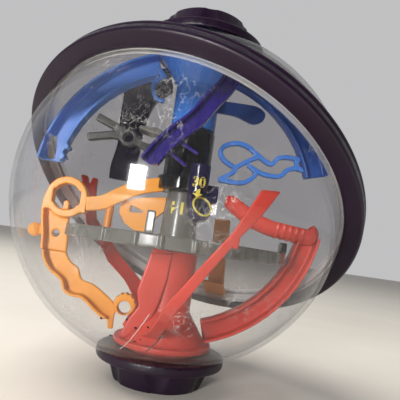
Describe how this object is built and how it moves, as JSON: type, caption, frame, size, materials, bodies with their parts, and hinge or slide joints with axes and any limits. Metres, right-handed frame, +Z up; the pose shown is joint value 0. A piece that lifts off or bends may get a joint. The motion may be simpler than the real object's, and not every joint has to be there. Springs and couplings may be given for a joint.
{
  "type": "ball maze puzzle",
  "caption": "Clear two-part sphere with a rim ring and two knobs, holding a fixed middle track and an upper and a lower track that turn, for running a steel ball through.",
  "frame": {"origin": "centre of the lower knob's flat end, where the puzzle rests", "axes": "+Z up along the knobs' axis, X across the maze's plane with the trough towards +X, -Y towards the side the maze faces"},
  "size_m": [0.191, 0.1844, 0.2062],
  "materials": {
    "clear_shell": "clear moulded plastic, lightly scuffed",
    "dark_purple": "satin moulded plastic, very dark purple",
    "plated_steel": "bright plated screws",
    "grey": "satin moulded plastic, warm grey",
    "black": "glossy moulded plastic, near black",
    "indigo": "satin moulded plastic, deep indigo",
    "yellow": "printed yellow",
    "orange": "satin moulded plastic, yellow-orange",
    "blue": "satin moulded plastic, bright blue",
    "red": "satin moulded plastic, warm red",
    "ball_steel": "polished steel ball"
  },
  "bodies": {
    "shell": {"front_dome": "clear_shell", "rear_dome": "clear_shell", "front_ring": "dark_purple", "rear_ring": "dark_purple", "ring_screws": "plated_steel", "core_cone": "grey", "round_track": "grey", "track_post": "grey", "fork_arm": "grey", "landing_plate": "grey", "core_sleeve": "black", "sleeve_collar": "black", "tube_elbow": "black", "track_stop": "black", "finish_tube": "indigo", "finish_rim": "yellow", "loop_track": "orange", "wave_track": "orange", "scallop_cup": "orange", "curved_arm": "orange", "petal_track": "orange", "drop_pin": "orange", "rear_post": "orange"},
    "upper_rotor": {"upper_knob": "dark_purple", "upper_knob_screw": "plated_steel", "upper_hub": "blue", "left_slide": "blue", "right_arc": "blue", "wavy_ladder": "blue", "rear_lobe": "blue", "violet_ramp": "indigo", "hook_rail": "blue", "navy_band": "indigo"},
    "lower_rotor": {"lower_knob": "dark_purple", "lower_knob_screw": "plated_steel", "lower_hub": "red", "front_blade": "red", "long_bar": "red", "sweep_arm": "red", "ribbed_trough": "red", "left_arm": "red"},
    "ball": {"steel_ball": "ball_steel"}
  },
  "joints": [
    {"name": "upper_turn", "type": "hinge", "parent": "shell", "child": "upper_rotor", "pos_m": [0, 0, 0.1031], "axis": [0, 0, 1], "range_deg": [-12, 150]},
    {"name": "lower_turn", "type": "hinge", "parent": "shell", "child": "lower_rotor", "pos_m": [0, 0, 0.1031], "axis": [0, 0, 1], "range_deg": [-18, 28]},
    {"name": "ball_roll", "type": "hinge", "parent": "shell", "child": "ball", "pos_m": [0, 0, 0.1031], "axis": [0, 0, 1], "range_deg": [0, 70]}
  ]
}
